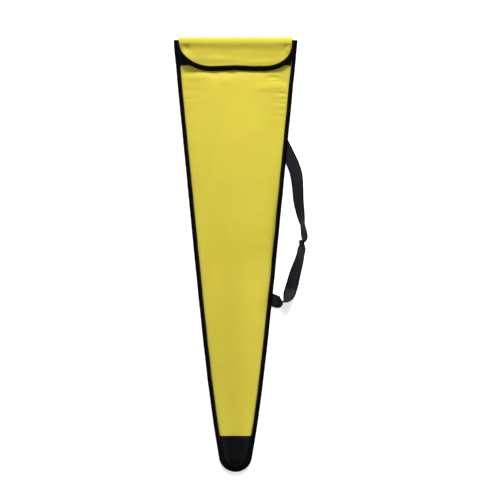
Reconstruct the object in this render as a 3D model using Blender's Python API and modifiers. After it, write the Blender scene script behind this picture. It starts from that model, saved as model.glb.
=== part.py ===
"""Tapered carry bag for a windsock and its pole.

The bag lies on its back: +X to its right, +Y to its mouth, +Z up through its front.
The origin is on the flat of the back panel, half way along the bag.
A place on the bag is given by its distance from the top fold, called down, and by x.
Soft pieces are sheets: a grid that a formula bends to shape, thickened by Solidify.
"""
import bmesh
import bpy
from math import atan2, cos, hypot, pi, radians, sin, sqrt
from mathutils import Vector

# ---- driving dimensions, in metres ----
LENGTH = 1.050              # top fold to toe
TOP_WIDTH = 0.302           # across the bindings at the top fold
TOE_RADIUS = 0.040          # round end, to the outside of the binding
TOE_TURN = radians(10.5)    # lean of the sides where the round end starts
SIDE_BOW = 0.0125           # how far the sides bow out below the straight taper
TOE_PATCH_LENGTH = 0.088    # black toe, along the bag

CLOTH = 0.0008              # coated cloth of the panels and the flap
GAP = 0.0003                # clearance between pieces that touch
TAPE_THICK = 0.0008         # binding tape
BINDING_WIDTH = 0.0107      # binding tape, folded over the edge
SEAM_MARGIN = 0.0005        # the panels lie flat on each other this far past the binding
WEBBING_WIDTH = 0.030
WEBBING_THICK = 0.0014
THREAD = 0.0003             # height of a row of stitching

SEAM_HEIGHT = 0.0062        # middle of the side seam above the ground
SEAM_HEIGHT_TOP = 0.0024    # the same, at the mouth
SEAM_RISE_START = 0.030     # the seam rises between these distances down
SEAM_RISE_END = 0.160
BINDING_TOP = 0.013         # upper end of the side binding, below the top fold
BACK_FLAT_SHARE = 0.55      # part of the back's half width that lies flat
CROWN_MOUTH = 0.0068        # height of the front over its seam, at the mouth
CROWN_MIDDLE = 0.030
CROWN_TOE = 0.018
CROWN_RISE_START = 0.085    # the front fills out between these distances down
CROWN_RISE_END = 0.360
CROWN_FALL_START = 0.620    # and flattens again from here to the toe
SECTION_POWER = 2.2         # section of the filled front: higher is flatter on top
SECTION_SIDE = 0.8          # and lower is steeper at the seams

FOLD_HEIGHT = 0.016         # top fold, over its full height
FOLD_REACH = 0.008          # how far the fold takes to turn
FLAP_LENGTH = 0.083         # top fold to the flap's cut edge
FLAP_SIDE_INSET = 0.0025    # flap's side, in from the bag's edge
FLAP_SIDE_LENGTH = 0.015    # straight side of the flap, before its round corner
FLAP_CORNER_X = 0.080       # how far its corners reach across the bag
FLAP_SETTLE = 0.023         # the flap lies on the front from here to its cut edge
FLAP_EDGE_RISE = 0.014      # its last stretch, which stands off the front
FLAP_EDGE_STAND = 0.0038    # flap over the front panel, at its lower edge
SEAM_GAP = 0.0005           # between the panels and the legs of the side binding
FLAP_EDGE_GAP = 0.0008      # between the flap's cloth and the legs of its binding
FOLD_GAP = 0.0008           # between the two halves of the fold, where the flap turns
HINGE_STAND_OUT = 0.0003    # the fold turns about a line just outside the cloth

MOUTH_COVER = 0.045         # how far the flap covers the front panel
TAPE_WIDTH = 0.020          # hook and loop tapes
TAPE_LENGTH = 0.200
HOOK_THICK = 0.0010
TAPE_COVER = 0.040          # upper edge of the hook and loop tapes, above the flap's cut edge

THREAD_WIDTH = 0.0006       # a row of stitching
STITCH_MARGIN = 0.0019      # row on the bindings, out from their inner edge
TOE_STITCH_DOWN = 0.003     # row on the toe, below its upper edge
BAND_STITCH_UP = 0.003      # row on the mouth band, above its lower edge
BOX_LENGTH = 0.026          # box of stitching on a strap end
BOX_WIDTH = 0.022
BOX_FROM_END = 0.004
PATCH_MARGIN = 0.003        # backing patch, beyond the box of stitching and the webbing
PATCH_THICK = 0.0010
PATCH_STAND = 0.0006        # backing patch over the back panel's inner face

# Route of the strap's middle line, chosen by hand: distance out from the bag's right edge,
# distance down, and the webbing's roll in degrees.  It starts and ends on the back panel and lies
# on the ground in between.
STRAP_ROUTE = (
    (-0.0516, 0.1890, 0), (-0.0325, 0.2210, 0), (-0.0133, 0.2530, 0), (0.0058, 0.2850, 0),
    (0.0191, 0.3090, 2), (0.0285, 0.3330, 12), (0.0343, 0.3620, 28), (0.0395, 0.3950, 38),
    (0.0462, 0.4220, 50), (0.0516, 0.4420, 63), (0.0546, 0.4520, 72), (0.0577, 0.4630, 68),
    (0.0619, 0.4800, 63), (0.0644, 0.4920, 76), (0.0611, 0.5010, 118), (0.0587, 0.5110, 130),
    (0.0572, 0.5240, 130), (0.0551, 0.5400, 138), (0.0509, 0.5600, 150),
    (0.0473, 0.5800, 162), (0.0443, 0.6000, 174), (0.0401, 0.6180, 194), (0.0345, 0.6310, 232),
    (0.0272, 0.6385, 270), (0.0194, 0.6405, 325), (0.0118, 0.6390, 355), (0.0045, 0.6363, 360),
    (-0.0038, 0.6331, 360), (-0.0142, 0.6292, 360), (-0.0298, 0.6233, 360), (-0.0506, 0.6155, 360),
)
STRAP_CUT_TOP = 0.2800      # where the strap's middle line crosses the bag's edge
STRAP_CUT_LOW = 0.6360
STRAP_CUT_CLEAR = 0.0018    # swing line of the strap, outside the binding
STRAP_GROUND = 0.0007       # underside of the webbing above the ground
TAB_LEVEL_REACH = 0.036     # the back panel is level this far round a strap end
TAB_LIFT_REACH = 0.062      # and is back on the ground this far away
CLOTH_EDGE_GAP = 0.0008     # between a panel's cut edge and the fold of its binding

# ---- worked out from them ----
TOP_Y = LENGTH / 2
TOE_MIDDLE = LENGTH - TOE_RADIUS
SIDE_END = TOE_MIDDLE + TOE_RADIUS * sin(TOE_TURN)
SIDE_END_HALF = TOE_RADIUS * cos(TOE_TURN)
TOE_LINE = LENGTH - TOE_PATCH_LENGTH
SEAM_WIDTH = BINDING_WIDTH + SEAM_MARGIN
BINDING_STITCH = BINDING_WIDTH - STITCH_MARGIN
CLOTH_INSET = TAPE_THICK + CLOTH_EDGE_GAP
SEAM_HALF = GAP / 2 + CLOTH + SEAM_GAP + TAPE_THICK
FLAP_EDGE_HALF = CLOTH / 2 + FLAP_EDGE_GAP + TAPE_THICK
STACK = WEBBING_THICK + 2 * HOOK_THICK + 4 * GAP
FLAP_HALF = TOP_WIDTH / 2 - FLAP_SIDE_INSET
FLAP_CORNER_Y = FLAP_LENGTH - FLAP_SIDE_LENGTH
MOUTH_DOWN = FLAP_LENGTH - MOUTH_COVER
TAPE_DOWN = FLAP_LENGTH - TAPE_COVER
TAB_LIFT = STRAP_GROUND + WEBBING_THICK + GAP


def ease(value, low, high):
    """Smooth step from 0 at low to 1 at high."""
    t = min(1.0, max(0.0, (value - low) / (high - low)))
    return t * t * (3 - 2 * t)


def mix(a, b, t):
    return a + (b - a) * t


# ---- the shape of the bag ----
def half_width(down):
    """Half the bag's width over its bindings: a straight taper with a slight outward bow."""
    t = min(1.0, max(0.0, down / SIDE_END))
    return mix(TOP_WIDTH / 2, SIDE_END_HALF, t) + SIDE_BOW * t * (1 - t ** 6)


def lean(down):
    """Angle of the side to the middle line."""
    step = 0.001
    return atan2(half_width(down - step) - half_width(down + step), 2 * step)


def side_point(down, inset):
    """Point inside the right edge by inset: x and distance down."""
    angle = lean(down)
    return half_width(down) - inset * cos(angle), down - inset * sin(angle)


def seam_height(down):
    return mix(SEAM_HEIGHT_TOP, SEAM_HEIGHT, ease(down, SEAM_RISE_START, SEAM_RISE_END))


def crown(down):
    """Height of the front panel over its seam, on the middle line."""
    rise = mix(CROWN_MOUTH, CROWN_MIDDLE, ease(down, CROWN_RISE_START, CROWN_RISE_END))
    return mix(rise, CROWN_TOE, ease(down, CROWN_FALL_START, TOE_MIDDLE))


def across(share):
    """Section of the filled front: 1 on the middle line, 0 at the seam."""
    return (1 - min(1.0, abs(share)) ** SECTION_POWER) ** SECTION_SIDE


def front_top(x, down):
    """Outer face of the front panel."""
    inner = half_width(down) - SEAM_WIDTH
    return seam_height(down) + GAP / 2 + CLOTH + crown(down) * across(x / inner)


STRAP_POINTS = [(half_width(down) + out, down, roll) for out, down, roll in STRAP_ROUTE]


def tab_lift(x, down):
    """The back panel stands clear of the two strap ends sewn to it."""
    lift = 0.0
    for first, last in ((STRAP_POINTS[0], STRAP_POINTS[3]), (STRAP_POINTS[-1], STRAP_POINTS[-5])):
        dx, dy = last[0] - first[0], last[1] - first[1]
        t = ((x - first[0]) * dx + (down - first[1]) * dy) / (dx * dx + dy * dy)
        t = min(1.0, max(0.0, t))
        away = hypot(x - first[0] - t * dx, down - first[1] - t * dy)
        lift = max(lift, TAB_LIFT * (1 - ease(away, TAB_LEVEL_REACH, TAB_LIFT_REACH)))
    return lift


def back_under(x, down):
    """Outer face of the back panel: flat on the ground, turned up to the seams."""
    half = half_width(down)
    flat = BACK_FLAT_SHARE * half
    share = min(1.0, max(0.0, (abs(x) - flat) / (half - SEAM_WIDTH - flat)))
    seam = seam_height(down) - GAP / 2 - CLOTH
    return max(seam * share ** 2, tab_lift(x, down))


def flap_under(x, down):
    """Inner face of the flap: level at the fold, lying on the tapes and the front below it."""
    level = FOLD_HEIGHT - CLOTH
    stand = mix(STACK, FLAP_EDGE_STAND, ease(down, FLAP_LENGTH - FLAP_EDGE_RISE, FLAP_LENGTH))
    settled = ease(down, FOLD_REACH, FLAP_LENGTH - FLAP_SETTLE)
    return mix(level, front_top(x, down) + stand, settled)


# ---- building ----
def material(name, colour, roughness):
    made = bpy.data.materials.new(name)
    made.use_nodes = True
    shader = made.node_tree.nodes["Principled BSDF"]
    shader.inputs["Base Color"].default_value = (*colour, 1)
    shader.inputs["Roughness"].default_value = roughness
    shader.inputs["Metallic"].default_value = 0
    made.diffuse_color = (*colour, 1)
    return made


def clear_scene():
    for old in list(bpy.data.objects):
        bpy.data.objects.remove(old, do_unlink=True)


def add_object(name, mesh, paint, parent=None):
    made = bpy.data.objects.new(name, mesh)
    made.data.materials.append(paint)
    bpy.data.collections["carry_bag"].objects.link(made)
    if parent:
        made.parent = parent
        made.matrix_parent_inverse = parent.matrix_world.inverted()
    return made


def sheet(name, columns, rows, place, thick, paint, parent=None, offset=-1.0):
    """A grid of columns by rows cells, bent by place(column, row), with a thickness.

    place gives x, distance down and height of the outer face; the thickness goes inwards.
    """
    form = bmesh.new()
    bmesh.ops.create_grid(form, x_segments=columns, y_segments=rows, size=0.5)
    for vertex in form.verts:
        column = round((vertex.co.x + 0.5) * columns)
        row = round((vertex.co.y + 0.5) * rows)
        x, down, height = place(column, row)
        vertex.co = Vector((x, TOP_Y - down, height))
    bmesh.ops.remove_doubles(form, verts=form.verts, dist=0.00001)
    mesh = bpy.data.meshes.new(name)
    form.to_mesh(mesh)
    form.free()
    mesh.shade_smooth()
    made = add_object(name, mesh, paint, parent)
    wall = made.modifiers.new("thickness", "SOLIDIFY")
    wall.thickness = thick
    wall.offset = offset
    return made


def spread(count, edge_share):
    """Shares from -1 to 1 for the columns between two seams, closer near the seams."""
    shares = []
    for step in range(count + 1):
        t = -1 + 2 * step / count
        shares.append(mix(t, sin(t * pi / 2), edge_share))
    return shares


# ---- panels ----
COLUMNS = 16                # cells across a panel, two of them in the seams
ROWS = 34
EDGE_SHARE = 0.5            # how much closer the columns lie near the seams
TOE_SIDES = 4               # cells down each side of the toe
TOE_ARC = 12                # cells round its end
TOE_RINGS = 5
TOE_RING_CLOSE = 1.3        # rings of the front lie closer near the seam


def panel_x(column, down):
    """Position across a panel: its outer columns lie in the seams."""
    half = half_width(down)
    if column == 0:
        return CLOTH_INSET - half
    if column == COLUMNS:
        return half - CLOTH_INSET
    return (half - SEAM_WIDTH) * spread(COLUMNS - 2, EDGE_SHARE)[column - 1]


def front_panel(paint):
    start, end = MOUTH_DOWN, TOE_LINE - GAP / 2

    def place(column, row):
        down = mix(start, end, 1 - row / ROWS)
        x = panel_x(column, down)
        return x, down, front_top(x, down)

    return sheet("front_panel", COLUMNS, ROWS, place, CLOTH, paint)


def back_panel(paint):
    """The back, with the lower half of the top fold, up to the line the flap turns about."""
    fold_rows = 4
    middle = FOLD_HEIGHT / 2 - FOLD_GAP / 2
    end = TOE_LINE - GAP / 2

    def place(column, row):
        if row > ROWS:
            turn = pi / 2 * (row - ROWS) / fold_rows
            x = panel_x(column, FOLD_REACH)
            foot = back_under(x, FOLD_REACH)
            return x, FOLD_REACH * (1 - sin(turn)), mix(foot, middle, 1 - cos(turn))
        down = mix(FOLD_REACH, end, 1 - row / ROWS)
        x = panel_x(column, down)
        return x, down, back_under(x, down)

    return sheet("back_panel", COLUMNS, ROWS + fold_rows, place, CLOTH, paint, offset=1.0)


def toe(name, face, paint, offset):
    """The round end: rings parallel to its edge, closing on the middle line."""
    sides, arc = TOE_SIDES, TOE_ARC
    last = 2 * sides + arc

    def place(column, row):
        right = 1 if column > last / 2 else -1
        from_top = min(column, last - column)
        inset = CLOTH_INSET if row == 0 else SEAM_WIDTH
        if from_top <= sides:
            share = from_top / sides
            down = mix(TOE_LINE + GAP / 2, SIDE_END, share)
            edge_x, edge_down = side_point(down, inset)
            edge_down = mix(down, edge_down, share)
            spine = mix(TOE_LINE + GAP / 2, TOE_MIDDLE, share)
        else:
            turn = mix(TOE_TURN, pi / 2, 2 * (from_top - sides) / arc)
            edge_x = (TOE_RADIUS - inset) * cos(turn)
            edge_down = TOE_MIDDLE + (TOE_RADIUS - inset) * sin(turn)
            spine = TOE_MIDDLE
        ring = max(0, row - 1) / TOE_RINGS
        ring = sin(ring * pi / 2) ** TOE_RING_CLOSE if face == "front" else ring
        x, down = right * edge_x * (1 - ring), mix(edge_down, spine, ring)
        if face == "front":
            seam = seam_height(down) + GAP / 2 + CLOTH
            height = seam + (crown(spine) * across(1 - ring) if row else 0)
        else:
            seam = seam_height(down) - GAP / 2 - CLOTH
            flat = 1 - BACK_FLAT_SHARE
            share = max(0.0, (flat - ring) / flat) if row else 1.0
            height = seam * share ** 2
        return x, down, height

    return sheet(name, last, TOE_RINGS + 1, place, CLOTH, paint, offset=offset)


def folded_tape(name, steps, path, middle, half, paint, parent=None):
    """Binding tape folded over an edge.

    path(step) gives a point of the outer edge and the inward direction there; middle(x, down)
    is the height of the middle of the fold, and half its outer half thickness.
    """
    round_cells = 4
    leg_cells = 1
    cells = round_cells + 2 * leg_cells

    def place(column, row):
        (x, down), (nx, nd) = path(row)
        if column < leg_cells:
            inset = mix(BINDING_WIDTH, half, column / leg_cells)
            rise = -half
        elif column > cells - leg_cells:
            inset = mix(BINDING_WIDTH, half, (cells - column) / leg_cells)
            rise = half
        else:
            turn = -pi / 2 + pi * (column - leg_cells) / round_cells
            inset, rise = half * (1 - cos(turn)), half * sin(turn)
        px, pd = x + nx * inset, down + nd * inset
        return px, pd, middle(px, pd) + rise

    return sheet(name, cells, steps, place, TAPE_THICK, paint, parent, offset=1.0)


def edge_binding(paint, thread):
    """One tape from the mouth down one side, round the toe and up the other."""
    sides, arc = 34, 16
    last = 2 * sides + arc

    def path(step):
        right = 1 if step > last / 2 else -1
        from_top = min(step, last - step)
        if from_top <= sides:
            down = mix(BINDING_TOP, SIDE_END, from_top / sides)
            angle = lean(down)
            x = half_width(down)
        else:
            angle = mix(TOE_TURN, pi / 2, 2 * (from_top - sides) / arc)
            x = TOE_RADIUS * cos(angle)
            down = TOE_MIDDLE + TOE_RADIUS * sin(angle)
        return (right * x, down), (-right * cos(angle), -sin(angle))

    def middle(x, down):
        return seam_height(down)

    folded_tape("edge_binding", last, path, middle, SEAM_HALF, paint)
    edge_thread("binding_stitching", last, path, middle, SEAM_HALF, thread)


# ---- flap ----
def flap_panel(paint, parent):
    corner, straight, fold_rows, rows = 8, 8, 4, 8
    columns = 2 * corner + straight
    middle = FOLD_HEIGHT / 2 + FOLD_GAP / 2
    inset = CLOTH_INSET

    def cut_edge(column):
        """Where a column meets the cut edge: straight, with round corners."""
        from_side = min(column, columns - column)
        right = 1 if column > columns / 2 else -1
        flat = FLAP_HALF - FLAP_CORNER_X
        if from_side >= corner:
            return mix(-flat, flat, (column - corner) / straight), FLAP_LENGTH - inset
        turn = pi / 2 * from_side / corner
        x = right * (flat + (FLAP_CORNER_X - inset) * cos(turn))
        return x, FLAP_LENGTH - FLAP_CORNER_Y + (FLAP_CORNER_Y - inset) * sin(turn)

    def place(column, row):
        x, end = cut_edge(column)
        if row > rows:
            turn = pi / 2 * (row - rows) / fold_rows
            return x, FOLD_REACH * (1 - sin(turn)), mix(FOLD_HEIGHT, middle, 1 - cos(turn))
        down = mix(FOLD_REACH, end, 1 - row / rows)
        return x, down, flap_under(x, down) + CLOTH

    return sheet("flap_panel", columns, rows + fold_rows, place, CLOTH, paint, parent)


def flap_binding(paint, thread, parent):
    """Tape round the flap: a short way down each side, round the corners, along the end."""
    side, corner, straight = 2, 10, 10
    last = 2 * (side + corner) + straight
    corner_x = FLAP_HALF - FLAP_CORNER_X
    corner_down = FLAP_LENGTH - FLAP_CORNER_Y

    def path(step):
        right = 1 if step > last / 2 else -1
        from_top = min(step, last - step)
        if from_top < side:
            down = mix(FOLD_REACH + 0.001, corner_down, from_top / side)
            return (right * FLAP_HALF, down), (-right, 0.0)
        if from_top <= side + corner:
            turn = pi / 2 * (from_top - side) / corner
            x = right * (corner_x + FLAP_CORNER_X * cos(turn))
            down = corner_down + FLAP_CORNER_Y * sin(turn)
            nx, nd = cos(turn) / FLAP_CORNER_X, sin(turn) / FLAP_CORNER_Y
            size = hypot(nx, nd)
            return (x, down), (-right * nx / size, -nd / size)
        t = (step - side - corner) / straight
        return (mix(-corner_x, corner_x, t), FLAP_LENGTH), (0.0, -1.0)

    def middle(x, down):
        return flap_under(x, down) + CLOTH / 2

    folded_tape("flap_binding", last, path, middle, FLAP_EDGE_HALF, paint, parent)
    edge_thread("flap_stitching", last, path, middle, FLAP_EDGE_HALF, thread, parent)


# ---- mouth and closure ----
def strip(name, half_length, down_start, width, surface, thick, paint, parent=None):
    """A flat tape that runs across the bag, on the face that surface gives."""
    columns, rows = 20, 3

    def place(column, row):
        x = mix(-half_length, half_length, column / columns)
        down = mix(down_start + width, down_start, row / rows)
        return x, down, surface(x, down) + thick

    return sheet(name, columns, rows, place, thick, paint, parent)


def mouth_and_closure(webbing, hooks, flap_parent):
    band_half = half_width(MOUTH_DOWN + WEBBING_WIDTH) - SEAM_WIDTH - 2 * GAP

    def on_front(x, down):
        return front_top(x, down) + GAP

    def on_band(x, down):
        return front_top(x, down) + 2 * GAP + WEBBING_THICK

    def under_flap(x, down):
        return flap_under(x, down) - GAP - HOOK_THICK

    strip("mouth_band", band_half, MOUTH_DOWN, WEBBING_WIDTH, on_front, WEBBING_THICK, webbing)
    strip("loop_tape", TAPE_LENGTH / 2, TAPE_DOWN, TAPE_WIDTH, on_band, HOOK_THICK, hooks)
    strip("hook_tape", TAPE_LENGTH / 2, TAPE_DOWN, TAPE_WIDTH, under_flap, HOOK_THICK, hooks,
          flap_parent)


# ---- strap ----
def smooth_route(points, cells):
    """Points on a smooth curve through the route's points."""
    made = []
    for index in range(len(points) - 1):
        a, b = points[max(0, index - 1)], points[index]
        c, d = points[index + 1], points[min(len(points) - 1, index + 2)]
        for step in range(cells):
            t = step / cells
            made.append(tuple(
                0.5 * (2 * q + (r - p) * t + (2 * p - 5 * q + 4 * r - s) * t ** 2
                       + (3 * q - p - 3 * r + s) * t ** 3)
                for p, q, r, s in zip(a, b, c, d)))
    made.append(tuple(float(value) for value in points[-1]))
    return made


def strap_ribbon(name, route, paint, parent=None):
    """Webbing along a route; where it rolls on edge it stands on the ground."""
    columns = 2

    def place(column, row):
        x, down, roll = route[row]
        before, after = route[max(0, row - 1)], route[min(len(route) - 1, row + 1)]
        run = hypot(after[0] - before[0], after[1] - before[1])
        side_x, side_down = (after[1] - before[1]) / run, -(after[0] - before[0]) / run
        turn = radians(roll)
        reach = (column / columns - 0.5) * WEBBING_WIDTH
        rest = STRAP_GROUND + WEBBING_THICK / 2
        middle = rest + WEBBING_WIDTH / 2 * abs(sin(turn))
        flat, rise = reach * cos(turn), reach * sin(turn)
        return x + side_x * flat, down + side_down * flat, middle + rise

    return sheet(name, columns, len(route) - 1, place, WEBBING_THICK, paint, parent, offset=0.0)


def swing_line():
    """The line that the free strap turns about, on top of the webbing, outside the bag's edge.

    It gives the line's upper end and the direction up the bag.
    """
    ends = []
    for down in (STRAP_CUT_TOP, STRAP_CUT_LOW):
        x, at = side_point(down, -STRAP_CUT_CLEAR)
        ends.append(Vector((x, TOP_Y - at, STRAP_GROUND + WEBBING_THICK)))
    return ends[0], (ends[0] - ends[1]).normalized()


def cut_away(piece, point, normal):
    """Cut a sheet along an upright plane and drop what lies on the side normal points to."""
    depsgraph = bpy.context.evaluated_depsgraph_get()
    solid = bpy.data.meshes.new_from_object(piece.evaluated_get(depsgraph))
    form = bmesh.new()
    form.from_mesh(solid)
    everything = form.verts[:] + form.edges[:] + form.faces[:]
    bmesh.ops.bisect_plane(form, geom=everything, dist=0.000001, plane_co=point,
                           plane_no=normal, clear_outer=True)
    open_edges = [edge for edge in form.edges if edge.is_boundary]
    bmesh.ops.holes_fill(form, edges=open_edges)
    bmesh.ops.recalc_face_normals(form, faces=form.faces)
    form.to_mesh(solid)
    form.free()
    piece.modifiers.clear()
    piece.data = solid


def end_frame(first, last):
    """Direction and side direction of a strap end on the back panel."""
    run = Vector((last[0] - first[0], last[1] - first[1]))
    along = run.normalized()
    return along, Vector((along.y, -along.x))


def strap_and_ends(webbing, thread, cloth, strap_parent):
    route = smooth_route(STRAP_POINTS, 3)
    point, line = swing_line()
    outwards = Vector((line.y, -line.x, 0)).normalized()
    strap = strap_ribbon("strap_webbing", route, webbing, strap_parent)
    cut_away(strap, point + outwards * GAP / 2, -outwards)
    quarter = len(route) // 4
    for name, part in (("strap_upper_end", route[:quarter]), ("strap_lower_end", route[-quarter:])):
        end = strap_ribbon(name, part, webbing)
        cut_away(end, point - outwards * GAP / 2, outwards)

    for name, first, last in (("upper_end_stitching", STRAP_POINTS[0], STRAP_POINTS[2]),
                              ("lower_end_stitching", STRAP_POINTS[-1], STRAP_POINTS[-3])):
        box_stitching(name, first, last, thread)

    for name, first, last in (("upper_backing_patch", STRAP_POINTS[0], STRAP_POINTS[2]),
                              ("lower_backing_patch", STRAP_POINTS[-1], STRAP_POINTS[-3])):
        backing_patch(name, first, last, cloth)


def backing_patch(name, first, last, paint):
    """Cloth inside the back panel that takes the pull of a strap end."""
    along, side = end_frame(first, last)
    middle = Vector(first[:2]) + along * (BOX_FROM_END + BOX_LENGTH / 2)
    length = BOX_LENGTH + 2 * PATCH_MARGIN
    width = WEBBING_WIDTH + 2 * PATCH_MARGIN
    cells = 4

    def place(column, row):
        spot = middle + along * length * (0.5 - row / cells) + side * width * (column / cells - 0.5)
        return spot.x, spot.y, back_under(spot.x, spot.y) + CLOTH + PATCH_STAND + PATCH_THICK

    sheet(name, cells, cells, place, PATCH_THICK, paint)


def box_stitching(name, first, last, paint):
    """A box of thread with its diagonals, under a strap end."""
    along, side = end_frame(first, last)
    middle = Vector(first[:2]) + along * (BOX_FROM_END + BOX_LENGTH / 2)
    form = bmesh.new()
    bmesh.ops.create_grid(form, x_segments=1, y_segments=1, size=0.5)
    bmesh.ops.poke(form, faces=form.faces[:])
    for vertex in form.verts:
        spot = middle + along * BOX_LENGTH * vertex.co.x + side * BOX_WIDTH * vertex.co.y
        vertex.co = Vector((spot.x, TOP_Y - spot.y, STRAP_GROUND - GAP - THREAD / 2))
    mesh = bpy.data.meshes.new(name)
    form.to_mesh(mesh)
    form.free()
    made = add_object(name, mesh, paint)
    wire = made.modifiers.new("thread", "WIREFRAME")
    wire.thickness = THREAD
    wire.use_boundary = True
    wire.use_replace = True
    wire.use_even_offset = False


def edge_thread(name, steps, path, middle, half, paint, parent=None):
    """A row of thread along a folded tape, on its upper leg."""
    def place(column, row):
        (x, down), (nx, nd) = path(row)
        reach = BINDING_STITCH + (0.5 - column) * THREAD_WIDTH
        px, pd = x + nx * reach, down + nd * reach
        return px, pd, middle(px, pd) + half + GAP + THREAD

    return sheet(name, 1, steps, place, THREAD, paint, parent)


def seam_stitching(thread):
    """Rows that hold the front toe piece and the mouth band."""
    toe_half = half_width(TOE_LINE + TOE_STITCH_DOWN) - SEAM_WIDTH - 2 * GAP
    band_end = MOUTH_DOWN + WEBBING_WIDTH
    band_half = half_width(band_end) - SEAM_WIDTH - 4 * GAP

    def on_toe(x, down):
        return front_top(x, down) + GAP

    def on_band(x, down):
        return front_top(x, down) + 2 * GAP + WEBBING_THICK

    strip("toe_stitching", toe_half, TOE_LINE + TOE_STITCH_DOWN, THREAD_WIDTH, on_toe, THREAD,
          thread)
    strip("mouth_stitching", band_half, band_end - BAND_STITCH_UP, THREAD_WIDTH, on_band, THREAD,
          thread)


def main():
    clear_scene()
    parts = bpy.data.collections.new("carry_bag")
    bpy.context.scene.collection.children.link(parts)

    yellow = material("yellow_coated_cloth", (0.70, 0.60, 0.09), 0.45)
    black = material("black_coated_cloth", (0.012, 0.013, 0.016), 0.5)
    tape = material("black_binding_tape", (0.006, 0.006, 0.007), 0.6)
    webbing = material("charcoal_webbing", (0.030, 0.030, 0.038), 0.5)
    hooks = material("black_hook_and_loop", (0.010, 0.010, 0.011), 0.9)
    thread = material("black_thread", (0.015, 0.015, 0.017), 0.6)

    flap_hinge = bpy.data.objects.new("flap_hinge", None)
    flap_hinge.location = (0, TOP_Y + HINGE_STAND_OUT, FOLD_HEIGHT / 2)
    strap_swing = bpy.data.objects.new("strap_swing", None)
    strap_swing.location = swing_line()[0]
    for empty in (flap_hinge, strap_swing):
        parts.objects.link(empty)
    bpy.context.view_layer.update()

    back_panel(yellow)
    front_panel(yellow)
    toe("front_toe", "front", black, -1.0)
    toe("back_toe", "back", black, 1.0)
    edge_binding(tape, thread)
    flap_panel(yellow, flap_hinge)
    flap_binding(tape, thread, flap_hinge)
    mouth_and_closure(webbing, hooks, flap_hinge)
    strap_and_ends(webbing, thread, yellow, strap_swing)
    seam_stitching(thread)


main()
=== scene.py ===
# Tapered carry bag of coated yellow cloth, lying on its back on a pale floor.
# Everything is in metres in the frame's own axes: +Y to the mouth, +Z out of the front.
# A place on the bag is given by x and by its distance down from the top fold.
from math import atan2, cos, exp, hypot, pi, radians, sin
import bmesh
import bpy
from mathutils import Matrix, Vector, noise


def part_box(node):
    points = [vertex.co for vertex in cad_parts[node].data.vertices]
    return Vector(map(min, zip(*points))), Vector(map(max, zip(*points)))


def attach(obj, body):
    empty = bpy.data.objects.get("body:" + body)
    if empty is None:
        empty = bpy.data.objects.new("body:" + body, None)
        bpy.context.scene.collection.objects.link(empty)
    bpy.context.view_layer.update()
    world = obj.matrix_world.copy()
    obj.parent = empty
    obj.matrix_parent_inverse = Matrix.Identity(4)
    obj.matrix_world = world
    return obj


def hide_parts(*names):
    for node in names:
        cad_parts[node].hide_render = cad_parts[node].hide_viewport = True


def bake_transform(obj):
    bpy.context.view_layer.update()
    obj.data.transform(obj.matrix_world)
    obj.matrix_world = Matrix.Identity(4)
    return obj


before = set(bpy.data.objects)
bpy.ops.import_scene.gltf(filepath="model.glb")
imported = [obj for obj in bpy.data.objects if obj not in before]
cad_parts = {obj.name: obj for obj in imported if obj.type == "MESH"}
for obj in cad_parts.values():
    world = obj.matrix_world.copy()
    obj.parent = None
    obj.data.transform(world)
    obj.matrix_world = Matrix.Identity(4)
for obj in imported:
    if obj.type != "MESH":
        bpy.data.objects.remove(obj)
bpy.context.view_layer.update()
print("frame loaded:", len(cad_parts), "nodes")


# sizes taken from the frame
def lowest(node):
    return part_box(node)[0]


def highest(node):
    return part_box(node)[1]


topY = highest("back_panel").y
length = topY - lowest("edge_binding").y
mouthDown = topY - highest("front_panel").y
toeLine = topY - highest("front_toe").y
flapLength = topY - lowest("flap_binding").y
foldHeight = highest("flap_panel").z

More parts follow.
